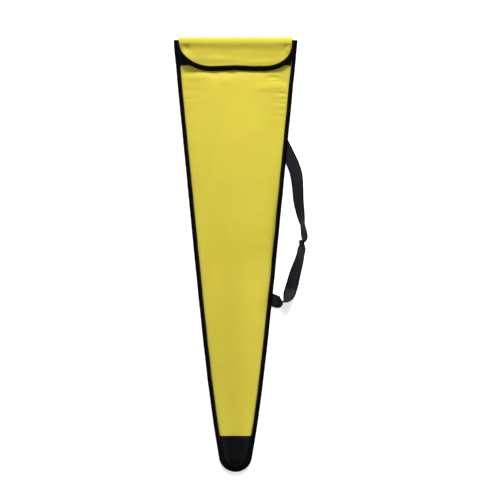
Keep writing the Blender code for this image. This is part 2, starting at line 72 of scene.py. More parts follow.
bag = {
    "topWidth": 0.302,  # across the bindings
    "toeRadius": 0.040,
    "toeTurn": radians(10.5),  # lean of the sides where the round end starts
    "sideBow": 0.0125,  # outward bow of the sides
    "cloth": 0.0008,
    "gap": 0.0003,
    "tape": 0.0008,  # thickness of the binding tape
    "bindingWidth": 0.0107,
    "flapBindingWidth": 0.0122,
    "seamWidth": 0.0112,
    "seamSlack": 0.0005,  # between a panel and the legs of the side binding
    "flapEdgeSlack": 0.0008,  # between the flap and the legs of its binding
    "clothInset": 0.0016,  # cut edge of a panel, inside its binding
    "seamHeight": 0.0062,  # middle of the side seam above the floor
    "seamHeightTop": 0.0024,  # the same, at the mouth
    "seamRise": (0.030, 0.160),  # the seam rises between these distances down
    "bindingTop": 0.0090,  # upper end of both bindings, below the top fold
    "backFlat": 0.55,  # part of the back that lies on the floor
    "crown": (0.0052, 0.030, 0.018),  # at the mouth, in the middle, at the toe
    "crownRise": (0.085, 0.360),  # the front fills out between these distances down
    "crownFall": 0.620,  # and flattens again from here to the toe
    "section": (2.7, 0.8),  # powers of the filled front's section, on top and at the seams
    "crowding": 0.7,  # how far the columns of a panel move towards its seams
    "smoothAngle": 40,  # sharper edges than this, in degrees, are shaded as edges
    "webbing": 0.0014,
    "webbingWidth": 0.030,
    "strapGround": 0.0007,  # underside of the webbing above the floor
    "tabReach": (0.036, 0.062),  # the back is level this far round a strap end, then comes down
    "foldReach": 0.015,  # how far down the fold takes to turn
    "foldLift": 0.0034,  # the cloth's rise over the fold's solid
    "foldPinch": (0.060, 0.007, 0.018),  # how much narrower the cloth is where it turns over
    "flapInset": 0.0025,  # flap's side, in from the bag's edge
    # corners of the flap, left and right: straight side, reach across, squareness
    "flapCorners": {-1: (0.010, 0.092, 2.0), 1: (0.014, 0.086, 2.2)},
    "flapCurl": {-1: 0.0058, 1: 0.0020},  # how far the corners lift off the front
    "curlAcross": (0.080, 0.132),  # between these distances from the middle line
    "curlDown": (0.028, 0.056),  # and these from the top fold
    "foldCorner": (0.0050, 0.134),  # how far the ends of the fold drop, and from which x
    "flapSettle": 0.023,  # the flap lies on the front from this far above its cut edge
    "flapRise": 0.014,  # its last stretch, which comes closer to the front
    "flapStand": 0.0022,  # flap over the front at its cut edge
    "toeRise": 0.0022,  # how far the toe's top edge rises in the middle
    "toeRiseReach": 0.030,  # and how far from the edge the rise dies away
    "stack": 0.0046,  # webbing and both tapes between flap and front
}

toeMiddle = length - bag["toeRadius"]
sideEnd = toeMiddle + bag["toeRadius"] * sin(bag["toeTurn"])
sideEndHalf = bag["toeRadius"] * cos(bag["toeTurn"])
flapHalf = bag["topWidth"] / 2 - bag["flapInset"]
seamHalf = bag["gap"] / 2 + bag["cloth"] + bag["seamSlack"] + bag["tape"]
flapEdgeHalf = bag["cloth"] / 2 + bag["flapEdgeSlack"] + bag["tape"]

# the strap's middle line, given as points: out from the bag's edge, down, roll in degrees
strapRoute = (
    (-0.0516, 0.1890, 0), (-0.0325, 0.2210, 0), (-0.0133, 0.2530, 0), (0.0058, 0.2850, 0),
    (0.0191, 0.3090, 2), (0.0285, 0.3330, 12), (0.0343, 0.3620, 28), (0.0395, 0.3950, 38),
    (0.0462, 0.4220, 50), (0.0516, 0.4420, 63), (0.0546, 0.4520, 72), (0.0577, 0.4630, 68),
    (0.0619, 0.4800, 63), (0.0644, 0.4920, 76), (0.0611, 0.5010, 118), (0.0587, 0.5110, 130),
    (0.0572, 0.5240, 130), (0.0551, 0.5400, 138), (0.0509, 0.5600, 150), (0.0473, 0.5800, 162),
    (0.0443, 0.6000, 174), (0.0401, 0.6180, 194), (0.0345, 0.6310, 232), (0.0272, 0.6385, 270),
    (0.0194, 0.6405, 325), (0.0118, 0.6390, 355), (0.0045, 0.6363, 360), (-0.0038, 0.6331, 360),
    (-0.0142, 0.6292, 360), (-0.0298, 0.6233, 360), (-0.0506, 0.6155, 360),
)


# the shape of the bag
def ease(value, low, high):
    t = min(1.0, max(0.0, (value - low) / (high - low)))
    return t * t * (3 - 2 * t)


def mix(a, b, t):
    return a + (b - a) * t


def bump(value, middle, width):
    return exp(-((value - middle) / width) ** 2)


def halfWidth(down):
    t = min(1.0, max(0.0, down / sideEnd))
    return mix(bag["topWidth"] / 2, sideEndHalf, t) + bag["sideBow"] * t * (1 - t ** 6)


def lean(down):
    step = 0.001
    return atan2(halfWidth(down - step) - halfWidth(down + step), 2 * step)


def seamHeight(down):
    return mix(bag["seamHeightTop"], bag["seamHeight"], ease(down, *bag["seamRise"]))


def crown(down):
    rise = mix(bag["crown"][0], bag["crown"][1], ease(down, *bag["crownRise"]))
    return mix(rise, bag["crown"][2], ease(down, bag["crownFall"], toeMiddle))


def across(share):
    return (1 - min(1.0, abs(share)) ** bag["section"][0]) ** bag["section"][1]


def frontTop(x, down):
    inner = halfWidth(down) - bag["seamWidth"]
    return seamHeight(down) + bag["gap"] / 2 + bag["cloth"] + crown(down) * across(x / inner)


strapPoints = [(halfWidth(down) + out, down, roll) for out, down, roll in strapRoute]


# the back rises where a strap end is sewn under it
def tabLift(x, down):
    lift = 0.0
    full = bag["strapGround"] + bag["webbing"] + bag["gap"]
    for first, last in ((strapPoints[0], strapPoints[3]), (strapPoints[-1], strapPoints[-5])):
        dx, dy = last[0] - first[0], last[1] - first[1]
        t = ((x - first[0]) * dx + (down - first[1]) * dy) / (dx * dx + dy * dy)
        t = min(1.0, max(0.0, t))
        away = hypot(x - first[0] - t * dx, down - first[1] - t * dy)
        lift = max(lift, full * (1 - ease(away, *bag["tabReach"])))
    return lift


def backUnder(x, down):
    half = halfWidth(down)
    flat = bag["backFlat"] * half
    share = min(1.0, max(0.0, (abs(x) - flat) / (half - bag["seamWidth"] - flat)))
    seam = seamHeight(down) - bag["gap"] / 2 - bag["cloth"]
    return max(seam * share ** 2, tabLift(x, down))


def flapUnder(x, down):
    last = ease(down, flapLength - bag["flapRise"], flapLength)
    stand = mix(bag["stack"], bag["flapStand"], last)
    settled = ease(down, 0, flapLength - bag["flapSettle"])
    curl = bag["flapCurl"][1 if x > 0 else -1] * ease(abs(x), *bag["curlAcross"])
    curl *= ease(down, *bag["curlDown"])
    top = foldHeight + bag["foldLift"] - bag["cloth"]
    return mix(top, frontTop(x, down) + stand, settled) + curl


# the toe's top edge is cut in a shallow arch, so that it looks straight on the filled bag
def toeArch(x, down):
    share = min(1.0, abs(x) / (halfWidth(down) - bag["seamWidth"]))
    near = 1 - ease(abs(down - toeLine), 0.0, bag["toeRiseReach"])
    return bag["toeRise"] * (1 - share ** 2) * near


# slow, smooth waves that are the same at each run; shares under 1 stretch them that way
def wave(x, down, height, size, seed, shareX=1.0, shareDown=1.0):
    return height * noise.noise(Vector((x * shareX / size, down * shareDown / size, seed)))


# tools
def srgb(text):  # a hex sRGB colour as a linear one
    parts = [int(text[i:i + 2], 16) / 255 for i in (0, 2, 4)]
    return [p / 12.92 if p <= 0.04045 else ((p + 0.055) / 1.055) ** 2.4 for p in parts] + [1]


def activate(piece):
    bpy.ops.object.select_all(action="DESELECT")
    piece.select_set(True)
    bpy.context.view_layer.objects.active = piece


def applyModifier(piece, kind, **settings):
    activate(piece)
    made = piece.modifiers.new(kind.lower(), kind)
    for key, value in settings.items():
        setattr(made, key, value)
    bpy.ops.object.modifier_apply(modifier=made.name)


# a grid of cloth bent by put(u, v), which gives x, distance down and height
def clothGrid(name, columns, rows, put):
    bpy.ops.object.select_all(action="DESELECT")
    bpy.ops.mesh.primitive_grid_add(x_subdivisions=columns, y_subdivisions=rows, size=1)
    piece = bpy.context.object
    piece.name = name
    piece.data.name = name
    for vertex in piece.data.vertices:
        x, down, height = put(vertex.co.x + 0.5, vertex.co.y + 0.5)
        vertex.co = (x, topY - down, height)
    return piece


# gives a sheet its thickness and turns its faces outwards
def thicken(piece, thickness, offset):
    applyModifier(piece, "SOLIDIFY", thickness=thickness, offset=offset)
    form = bmesh.new()
    form.from_mesh(piece.data)
    inside = form.calc_volume(signed=True) < 0
    form.free()
    activate(piece)
    if inside:
        bpy.ops.object.mode_set(mode="EDIT")
        bpy.ops.mesh.select_all(action="SELECT")
        bpy.ops.mesh.flip_normals()
        bpy.ops.object.mode_set(mode="OBJECT")
    bpy.ops.object.shade_smooth_by_angle(angle=radians(bag["smoothAngle"]))
    return piece


# joins points that lie on each other
def weld(piece, distance):
    activate(piece)
    bpy.ops.object.mode_set(mode="EDIT")
    bpy.ops.mesh.select_all(action="SELECT")
    bpy.ops.mesh.remove_doubles(threshold=distance)
    bpy.ops.object.mode_set(mode="OBJECT")


def finishPiece(piece, material, body, slot, *nodes):
    piece.data.materials.clear()
    piece.data.materials.append(material)
    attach(piece, body)
    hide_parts(*nodes)


# materials
def newMaterial(name):
    made = bpy.data.materials.new(name)
    made.use_nodes = True
    return made, made.node_tree, made.node_tree.nodes["Principled BSDF"]


# adds a node; settings are its properties or inputs, links the sources of its inputs
def addNode(tree, kind, settings=None, links=None):
    node = tree.nodes.new(kind)
    for key, value in (settings or {}).items():
        if key == "stops":
            for stop, (position, colour) in zip(node.color_ramp.elements, value):
                stop.position = position
                stop.color = srgb(colour)
        elif key in node.inputs:
            node.inputs[key].default_value = value
        else:
            setattr(node, key, value)
    for key, source in (links or {}).items():
        tree.links.new(source, node.inputs[key])
    return node


# plain-woven polyester with a coating rolled on: an even colour with a soft, broken shine over
# a fine check of threads, and shallow creases from use
def coatedPolyester(name, settings):
    made, tree, shader = newMaterial(name)
    where = addNode(tree, "ShaderNodeTexCoord").outputs["Object"]
    cloudy = addNode(tree, "ShaderNodeTexNoise", {"Scale": 1000 / settings["cloudMm"], "Detail": 3.0},
                     {"Vector": where})
    colour = addNode(tree, "ShaderNodeValToRGB", {"stops": settings["colours"]},
                     {"Fac": cloudy.outputs["Fac"]})
    tree.links.new(colour.outputs["Color"], shader.inputs["Base Color"])
    # a thread is 0.4 mm wide on the real cloth; it is drawn 0.9 mm wide so that it shows,
    # and a wave texture turns 20 radians a metre at scale 1
    scale = 2 * pi / settings["threadPair"] / 20
    threads = []
    for axis in ("X", "Y"):
        threads.append(addNode(tree, "ShaderNodeTexWave",
                               {"wave_type": "BANDS", "bands_direction": axis, "wave_profile": "SIN",
                                "Scale": scale, "Distortion": 0.4, "Detail": 0.0},
                               {"Vector": where}))
    weave = addNode(tree, "ShaderNodeMath", {"operation": "MULTIPLY"})
    tree.links.new(threads[0].outputs["Fac"], weave.inputs[0])
    tree.links.new(threads[1].outputs["Fac"], weave.inputs[1])
    creases = addNode(tree, "ShaderNodeTexNoise",
                      {"Scale": 1000 / settings["creaseMm"], "Detail": 4.0, "Roughness": 0.55,
                       "Distortion": 0.6}, {"Vector": where})
    shine = addNode(tree, "ShaderNodeMapRange", {"To Min": settings["roughness"][0],
                                                 "To Max": settings["roughness"][1]},
                    {"Value": creases.outputs["Fac"]})
    tree.links.new(shine.outputs["Result"], shader.inputs["Roughness"])
    fine = addNode(tree, "ShaderNodeBump", {"Strength": 0.25, "Distance": settings["threadDepth"]},
                   {"Height": weave.outputs["Value"]})
    soft = addNode(tree, "ShaderNodeBump", {"Strength": 0.5, "Distance": settings["creaseDepth"]},
                   {"Height": creases.outputs["Fac"], "Normal": fine.outputs["Normal"]})
    tree.links.new(soft.outputs["Normal"], shader.inputs["Normal"])
    shader.inputs["IOR"].default_value = settings["ior"]
    shader.inputs["Specular IOR Level"].default_value = settings["specular"]
    return made


# narrow weave: ribs cross the tape and yarns run along it, and the colour is painted darker along
# each edge as a dark outline; it reads the piece's own UV map, u across the tape and v along it
def wovenTape(name, settings):
    made, tree, shader = newMaterial(name)
    uv = addNode(tree, "ShaderNodeUVMap", {"uv_map": "UVMap"}).outputs["UV"]
    parts = addNode(tree, "ShaderNodeSeparateXYZ", links={"Vector": uv})
    ribs = addNode(tree, "ShaderNodeMath", {"operation": "SINE"})
    turns = addNode(tree, "ShaderNodeMath", {"operation": "MULTIPLY"})
    tree.links.new(parts.outputs["Y"], turns.inputs[0])
    turns.inputs[1].default_value = 2 * pi * settings["length"] / settings["rib"]
    tree.links.new(turns.outputs["Value"], ribs.inputs[0])
    yarns = addNode(tree, "ShaderNodeMath", {"operation": "SINE"})
    yarnTurns = addNode(tree, "ShaderNodeMath", {"operation": "MULTIPLY"})
    tree.links.new(parts.outputs["X"], yarnTurns.inputs[0])
    yarnTurns.inputs[1].default_value = 2 * pi * settings["width"] / settings["yarn"]
    tree.links.new(yarnTurns.outputs["Value"], yarns.inputs[0])
    weave = addNode(tree, "ShaderNodeMath", {"operation": "ADD"})
    tree.links.new(ribs.outputs["Value"], weave.inputs[0])
    tree.links.new(yarns.outputs["Value"], weave.inputs[1])
    level = addNode(tree, "ShaderNodeMapRange", {"From Min": -2.0, "From Max": 2.0},
                    {"Value": weave.outputs["Value"]})
    where = addNode(tree, "ShaderNodeTexCoord").outputs["Object"]
    worn = addNode(tree, "ShaderNodeTexNoise", {"Scale": 1000 / settings["wornMm"], "Detail": 3.0},
                   {"Vector": where})
    # painted shade: the colour follows the weave's relief, darker in its grooves and lighter on its
    # ribs, mixed half and half with random worn patches
    reliefShadeAndWear = addNode(tree, "ShaderNodeMix", {"data_type": "FLOAT", "Factor": 0.5})
    tree.links.new(level.outputs["Result"], reliefShadeAndWear.inputs["A"])
    tree.links.new(worn.outputs["Fac"], reliefShadeAndWear.inputs["B"])
    body = addNode(tree, "ShaderNodeValToRGB", {"stops": settings["colours"]},
                   {"Fac": reliefShadeAndWear.outputs["Result"]})
    # painted dark outline along both edges of the tape
    edge = addNode(tree, "ShaderNodeMath", {"operation": "PINGPONG"})
    tree.links.new(parts.outputs["X"], edge.inputs[0])
    edge.inputs[1].default_value = 0.5
    darkEdge = addNode(tree, "ShaderNodeMapRange", {"From Min": settings["darkEdge"],
                                                    "From Max": settings["darkEdge"] * 2},
                       {"Value": edge.outputs["Value"]})
    both = addNode(tree, "ShaderNodeMix", {"data_type": "RGBA"})
    tree.links.new(darkEdge.outputs["Result"], both.inputs["Factor"])
    both.inputs["A"].default_value = srgb(settings["edge"])
    tree.links.new(body.outputs["Color"], both.inputs["B"])
    tree.links.new(both.outputs["Result"], shader.inputs["Base Color"])
    relief = addNode(tree, "ShaderNodeBump", {"Strength": settings["relief"],
                                            "Distance": settings["reliefDepth"]},
                     {"Height": level.outputs["Result"]})
    tree.links.new(relief.outputs["Normal"], shader.inputs["Normal"])
    shader.inputs["Roughness"].default_value = settings["roughness"]
    shader.inputs["Specular IOR Level"].default_value = settings["specular"]
    shader.inputs["IOR"].default_value = settings["ior"]
    return made


# napped nylon: a mat of tiny hooks or loops that scatters nearly all light
def hookAndLoop(name, grain, depth):
    made, tree, shader = newMaterial(name)
    where = addNode(tree, "ShaderNodeTexCoord").outputs["Object"]
    tufts = addNode(tree, "ShaderNodeTexVoronoi", {"Scale": 1 / grain}, {"Vector": where})
    # painted shade: the tufts are lighter on top and darker in the hollows between them
    colour = addNode(tree, "ShaderNodeValToRGB", {"stops": ((0.0, "26262a"), (0.7, "0b0b0d"))},
                     {"Fac": tufts.outputs["Distance"]})
    tree.links.new(colour.outputs["Color"], shader.inputs["Base Color"])
    relief = addNode(tree, "ShaderNodeBump", {"Strength": 0.8, "Distance": depth, "invert": True},
                     {"Height": tufts.outputs["Distance"]})
    tree.links.new(relief.outputs["Normal"], shader.inputs["Normal"])
    shader.inputs["Roughness"].default_value = 0.85
    shader.inputs["Sheen Weight"].default_value = 0.3
    return made


# bonded polyester thread: two plies twisted, with a slight wax shine
def sewingThread(name, plyMm):
    made, tree, shader = newMaterial(name)
    where = addNode(tree, "ShaderNodeTexCoord").outputs["Object"]
    plies = addNode(tree, "ShaderNodeTexNoise", {"Scale": 1000 / plyMm, "Detail": 1.0},
                    {"Vector": where})
    colour = addNode(tree, "ShaderNodeValToRGB", {"stops": ((0.3, "0c0c0e"), (0.7, "1c1c20"))},
                     {"Fac": plies.outputs["Fac"]})
    tree.links.new(colour.outputs["Color"], shader.inputs["Base Color"])
    shader.inputs["Roughness"].default_value = 0.45
    return made


yellowCloth = coatedPolyester("yellowCoatedPolyester", {
    "colours": ((0.3, "a89b2d"), (0.7, "afa235")),
    "threadPair": 0.0018, "threadDepth": 0.00012,
    "cloudMm": 120, "creaseMm": 14, "creaseDepth": 0.0003,
    "roughness": (0.64, 0.76), "specular": 0.22, "ior": 1.4})
blackCloth = coatedPolyester("blackCoatedPolyester", {
    "colours": ((0.3, "030405"), (0.7, "08090b")),
    "threadPair": 0.0018, "threadDepth": 0.00012,
    "cloudMm": 40, "creaseMm": 10, "creaseDepth": 0.0008,
    "roughness": (0.62, 0.74), "specular": 0.10, "ior": 1.35})
hookTapeNylon = hookAndLoop("hookTapeNylon", grain=0.0012, depth=0.0005)
loopTapeNylon = hookAndLoop("loopTapeNylon", grain=0.0020, depth=0.0007)
blackThread = sewingThread("bondedPolyesterThread", plyMm=0.8)
print("materials made")


# front cloth: a filled front that crowns between the seams, puckered below the flap
frontCloth = {
    "columns": 110,
    "rows": 350,
    "crowding": 1.4,  # rows lie closer together towards the mouth
    "flatSize": (0.284, 0.925),
    "flatArea": 0.197,
    # the cloth stays smooth beside the seams, under the flap and at the toe
    "smoothSeams": 0.08,  # share of the half width
    "smoothMouth": (0.032, 0.050),
    "smoothToe": 0.012,
    # height, size, seed and stretch of its waves
    "waves": ((0.0007, 0.080, 3.1, 1.0, 0.45), (0.0002, 0.022, 7.7)),
    # the cloth swells out from under the flap, further down on the right
    "swell": 0.0038,
    "swellTop": 0.076,
    "swellSlant": (-0.100, 0.110),
    "swellReach": (0.026, 0.052),
    "swellFade": (0.150, 0.360),
    # listed puckers: x, down, half length, half width, turn in degrees, height
    "puckers": (
        (-0.048, 0.092, 0.012, 0.007, 8, -0.0019), (-0.009, 0.091, 0.011, 0.007, -6, -0.0018),
        (0.016, 0.100, 0.030, 0.008, 8, 0.0009), (-0.026, 0.108, 0.014, 0.008, 84, 0.0011),
        (0.048, 0.096, 0.012, 0.007, 20, -0.0009), (0.092, 0.098, 0.015, 0.009, -18, -0.0026),
        (0.118, 0.108, 0.012, 0.008, 30, -0.0018), (0.080, 0.122, 0.044, 0.012, -8, 0.0014),
        (0.030, 0.124, 0.032, 0.012, 14, -0.0008), (-0.118, 0.079, 0.026, 0.011, -10, -0.0030),
        (-0.080, 0.096, 0.034, 0.007, -4, 0.0008), (0.117, 0.137, 0.016, 0.0045, 6, -0.0019),
        (0.119, 0.150, 0.014, 0.0042, -8, -0.0018), (0.117, 0.161, 0.013, 0.0040, 6, -0.0015),
        (0.117, 0.176, 0.012, 0.0040, -4, -0.0011), (0.115, 0.192, 0.011, 0.0040, 4, -0.0008),
        (-0.123, 0.128, 0.013, 0.0042, 8, -0.0009), (-0.121, 0.150, 0.012, 0.0040, -6, -0.0008),
        (-0.119, 0.182, 0.012, 0.0040, 6, -0.0007), (0.112, 0.218, 0.011, 0.0040, 5, -0.0006),
    ),
    # cloth simulation: what is held, and how the cloth behaves
    "heldSeams": 0.1,
    "heldMouth": (0.03, 0.05),
    "heldToe": 0.012,
    "frames": 20,
    "quality": 5,
    "mass": 0.2,
    "tension": 15,
    "bending": 1.5,
    "pressure": 4.0,
    "cap": 0.003,
}


# height of all puckers at a place; each one counts only near its middle
def pucker(x, down, marks):
    total = 0.0
    for px, pd, reach, width, turn, height in marks:
        c, s = cos(radians(turn)), sin(radians(turn))
        along, side = (x - px) * c + (down - pd) * s, (down - pd) * c - (x - px) * s
        if abs(along) < 3 * reach and abs(side) < 3 * width:
            total += height * bump(along, 0, reach) * bump(side, 0, width)
    return total


def spacing(u):  # position across a panel from -1 to 1, closer near the seams
    t = 2 * u - 1
    return mix(t, sin(t * pi / 2), bag["crowding"])


def swell(x, down):
    reach = mix(*frontCloth["swellReach"], ease(x, *frontCloth["swellSlant"]))
    out = ease(down, frontCloth["swellTop"], frontCloth["swellTop"] + reach)
    return frontCloth["swell"] * out * (1 - ease(down, *frontCloth["swellFade"]))


def frontPlace(u, v):
    down = mix(toeLine, mouthDown, 1 - (1 - v) ** frontCloth["crowding"])
    x = (halfWidth(down) - bag["clothInset"]) * spacing(u)
    down -= toeArch(x, down)
    inner = halfWidth(down) - bag["seamWidth"]
    share = min(1.0, abs(x) / inner)
    mouthStart, mouthEnd = [mouthDown + reach for reach in frontCloth["smoothMouth"]]
    free = ease(1 - share, 0.0, frontCloth["smoothSeams"]) * ease(down, mouthStart, mouthEnd)
    free *= ease(toeLine - down, 0.0, frontCloth["smoothToe"])
    soft = sum(wave(x, down, *one) for one in frontCloth["waves"])
    dents = pucker(x, down, frontCloth["puckers"])
    return x, down, frontTop(x, down) + free * (soft + dents + swell(x, down) * (1 - share ** 4))


# lets the cloth swell under a little pressure, held where it is sewn, with a cap on the move
def relaxCloth(piece, settings, held):
    rest = [vertex.co.copy() for vertex in piece.data.vertices]
    group = piece.vertex_groups.new(name="sewn")
    for vertex in piece.data.vertices:
        group.add([vertex.index], held(vertex.co), "REPLACE")
    cloth = piece.modifiers.new("cloth", "CLOTH")
    cloth.settings.quality = settings["quality"]
    cloth.settings.mass = settings["mass"]
    cloth.settings.tension_stiffness = settings["tension"]
    cloth.settings.bending_stiffness = settings["bending"]
    cloth.settings.use_pressure = True
    cloth.settings.uniform_pressure_force = settings["pressure"]
    cloth.settings.vertex_group_mass = "sewn"
    cloth.settings.effector_weights.gravity = 0
    cloth.point_cache.frame_start = 1
    cloth.point_cache.frame_end = settings["frames"]
    for number in range(1, settings["frames"] + 1):
        bpy.context.scene.frame_set(number)
    activate(piece)
    bpy.ops.object.modifier_apply(modifier="cloth")
    bpy.context.scene.frame_set(1)
    for vertex, start in zip(piece.data.vertices, rest):
        move = vertex.co - start
        if move.length > settings["cap"]:
            vertex.co = start + move.normalized() * settings["cap"]
    piece.vertex_groups.clear()


def makeFront():
    piece = clothGrid("frontCloth", frontCloth["columns"], frontCloth["rows"], frontPlace)

    def held(point):
        down = topY - point.y
        share = abs(point.x) / (halfWidth(down) - bag["seamWidth"])
        mouthStart, mouthEnd = [mouthDown + reach for reach in frontCloth["heldMouth"]]
        free = ease(1 - share, 0.0, frontCloth["heldSeams"]) * ease(down, mouthStart, mouthEnd)
        return 1 - free * ease(toeLine - down, 0.0, frontCloth["heldToe"])

    relaxCloth(piece, frontCloth, held)
    thicken(piece, bag["cloth"], -1)
    finishPiece(piece, yellowCloth, "bag", "yellow_coated_cloth", "front_panel")


# back cloth, which runs on over the top fold as the flap
backCloth = {
    "columns": 96,
    "backRows": 190,
    "foldRows": 16,
    "flapRows": 44,
    "flatSize": (0.300, 1.062),
    "flatArea": 0.220,
    # the back's waves start below the fold and inside the seams
    "backWave": (0.0006, 0.060, 11.3, 1.0, 0.5),
    "backWaveDown": (0.02, 0.05),
    "backWaveSides": (0.08, 0.2),
    "foldWave": (0.0005, 0.045, 5.2),
    "foldNose": 0.0003,  # how far the fold's edge lies below the bag's top
    # the flap stays smooth below the fold and above its cut edge
    "flapWave": (0.0005, 0.020, 8.4, 0.6),
    "smoothTop": 0.024,
    "smoothEnd": (0.004, 0.014),
    # listed puckers, as on the front
    "puckers": (
        (-0.118, 0.024, 0.013, 0.006, 62, -0.0022), (-0.126, 0.042, 0.010, 0.005, -20, 0.0012),
        (0.122, 0.022, 0.012, 0.005, -58, -0.0022), (0.130, 0.034, 0.009, 0.005, 20, 0.0012),
        (0.112, 0.016, 0.012, 0.005, -40, -0.0012), (-0.040, 0.054, 0.062, 0.007, 2, 0.0014),
        (0.070, 0.060, 0.050, 0.006, -4, 0.0008), (-0.080, 0.068, 0.030, 0.005, 4, -0.0008),
        (0.000, 0.030, 0.180, 0.010, 1, -0.0014), (0.040, 0.072, 0.050, 0.005, 0, -0.0005),
    ),
}
clothRows = backCloth["backRows"] + backCloth["foldRows"] + backCloth["flapRows"]


def flapEnd(x):  # distance down to the flap's cut edge
    side, cornerX, power = bag["flapCorners"][1 if x > 0 else -1]
    flat = flapHalf - cornerX
    inset = bag["clothInset"]
    if abs(x) <= flat:
        return flapLength - inset
    t = min(1.0, (abs(x) - flat) / (cornerX - inset))
    return side + (flapLength - side - inset) * (1 - t ** power) ** (1 / power)


def foldWidth(down):  # share of the full width that the cloth has near the fold
    pinch, start, end = bag["foldPinch"]
    return 1 - pinch * (1 - ease(down, start, end))


def backPlace(u, v):
    row = v * clothRows
    s = spacing(u)
    reach = bag["foldReach"]
    if row <= backCloth["backRows"]:
        down = mix(toeLine, reach, row / backCloth["backRows"])
        x = (halfWidth(down) - bag["clothInset"]) * s * foldWidth(down)
        soft = max(0.0, wave(x, down, *backCloth["backWave"]))
        soft *= ease(down, *backCloth["backWaveDown"])
        soft *= ease(1 - abs(s), *backCloth["backWaveSides"])
        return x, down, backUnder(x, down) + soft
    row -= backCloth["backRows"]
    flapX = (flapHalf - bag["clothInset"]) * s
    if row <= backCloth["foldRows"]:
        t = row / backCloth["foldRows"]
        backX = (halfWidth(reach) - bag["clothInset"]) * s
        foot = backUnder(backX, reach)
        turn = pi * t
        x = mix(backX, flapX, ease(t, 0.0, 1.0)) * foldWidth(reach * (1 - sin(turn)))
        rise = (1 - cos(turn)) / 2
        drop, dropFrom = bag["foldCorner"]
        nose = backCloth["foldNose"] + wave(x, 0.0, *backCloth["foldWave"])
        nose += drop * ease(abs(x), dropFrom, flapHalf)
        crest = flapUnder(flapX, reach) + bag["cloth"]
        return x, reach * (1 - sin(turn)) + nose * sin(turn), mix(foot, crest, rise)
    t = (row - backCloth["foldRows"]) / backCloth["flapRows"]
    down = mix(reach, flapEnd(flapX), t)
    free = ease(down, reach, backCloth["smoothTop"])
    free *= ease(flapEnd(flapX) - down, *backCloth["smoothEnd"])
    soft = wave(flapX, down, *backCloth["flapWave"]) + pucker(flapX, down, backCloth["puckers"])
    return flapX * foldWidth(down), down, flapUnder(flapX, down) + bag["cloth"] + free * soft


def makeBack():
    piece = clothGrid("backAndFlapCloth", backCloth["columns"], clothRows, backPlace)
    thicken(piece, bag["cloth"], 1)
    piece.data.materials.append(yellowCloth)
    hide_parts("back_panel", "flap_panel")
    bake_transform(piece)


# black toe
toe = {
    "columns": 96,
    "rows": 30,
    "flatSize": (0.110, 0.090),
    "flatArea": {"front": 0.0079, "back": 0.0068},
    "sideShare": 0.42,  # part of the outline that runs down a side
    "leastEdge": 0.9,  # narrowest place that its rings are spaced for, in toe radii
    "wave": (0.0010, 0.018, 2.2),
    "waveFrom": (0.05, 0.3),
    "weld": 0.00002,
}


# u runs along the outline, ring from the outline to the middle line
def toePlace(face):
    def put(u, ring):
        right = 1 if u > 0.5 else -1
        fromTop = 2 * min(u, 1 - u)
        sideShare = toe["sideShare"]
        inset = bag["clothInset"]
        if fromTop <= sideShare:
            share = fromTop / sideShare
            down = mix(toeLine, sideEnd, share)
            angle = lean(down) * share
            edgeX = halfWidth(down) - inset * cos(angle)
            edgeDown = down - inset * sin(angle)
            spine = mix(toeLine, toeMiddle, share)
        else:
            turn = mix(bag["toeTurn"], pi / 2, (fromTop - sideShare) / (1 - sideShare))
            edgeX = (bag["toeRadius"] - inset) * cos(turn)
            edgeDown = toeMiddle + (bag["toeRadius"] - inset) * sin(turn)
            spine = toeMiddle
        x, down = right * edgeX * (1 - ring), mix(edgeDown, spine, ring)
        down -= toeArch(x, down) if face == "front" else 0.0
        edge = max(edgeX, bag["toeRadius"] * toe["leastEdge"])
        flatRing = (bag["seamWidth"] - bag["clothInset"]) / edge
        share = 1 - max(0.0, (ring - flatRing) / (1 - flatRing))
        if face == "front":
            base = seamHeight(down) + bag["gap"] / 2 + bag["cloth"]
            soft = wave(x, down, *toe["wave"]) * ease(1 - share, *toe["waveFrom"])
            return x, down, base + crown(spine) * across(share) + soft
        seam = seamHeight(down) - bag["gap"] / 2 - bag["cloth"]
        flat = 1 - bag["backFlat"]
        lift = max(0.0, (flat - (1 - share)) / flat)
        return x, down, seam * lift ** 2

    return put


def makeToe():
    for name, face, node in (("frontToe", "front", "front_toe"), ("backToe", "back", "back_toe")):
        piece = clothGrid(name, toe["columns"], toe["rows"], toePlace(face))
        weld(piece, toe["weld"])
        thicken(piece, bag["cloth"], -1 if face == "front" else 1)
        finishPiece(piece, blackCloth, "bag", "black_coated_cloth", node)


# binding tape
binding = {
    "rib": 0.0016,  # ribs of the tape are 0.8 mm apart, drawn twice as wide so that they show
    "sideSteps": 260,
    "arcSteps": 48,
    "flapSideSteps": 6,
    "flapCornerSteps": 60,
    "flapEndSteps": 60,
    "roundCells": 8,
    "legCells": 3,
    "widthWave": (0.0004, 0.030, 4.4),
    "rippleWave": (0.00025, 0.012, 6.1),
    "edgeWave": (0.0005, 0.050, 9.9),
    "sidesApart": 3.0,  # keeps the waves of the two sides different
    # the flap's end waves a little, from side to side
    "endWave": 0.0015,
    "endMiddle": 0.45,
    "endTurns": 1.7,
    "endInset": 0.0004,
}
sideSteps = 2 * binding["sideSteps"] + binding["arcSteps"]
flapSteps = 2 * (binding["flapSideSteps"] + binding["flapCornerSteps"]) + binding["flapEndSteps"]


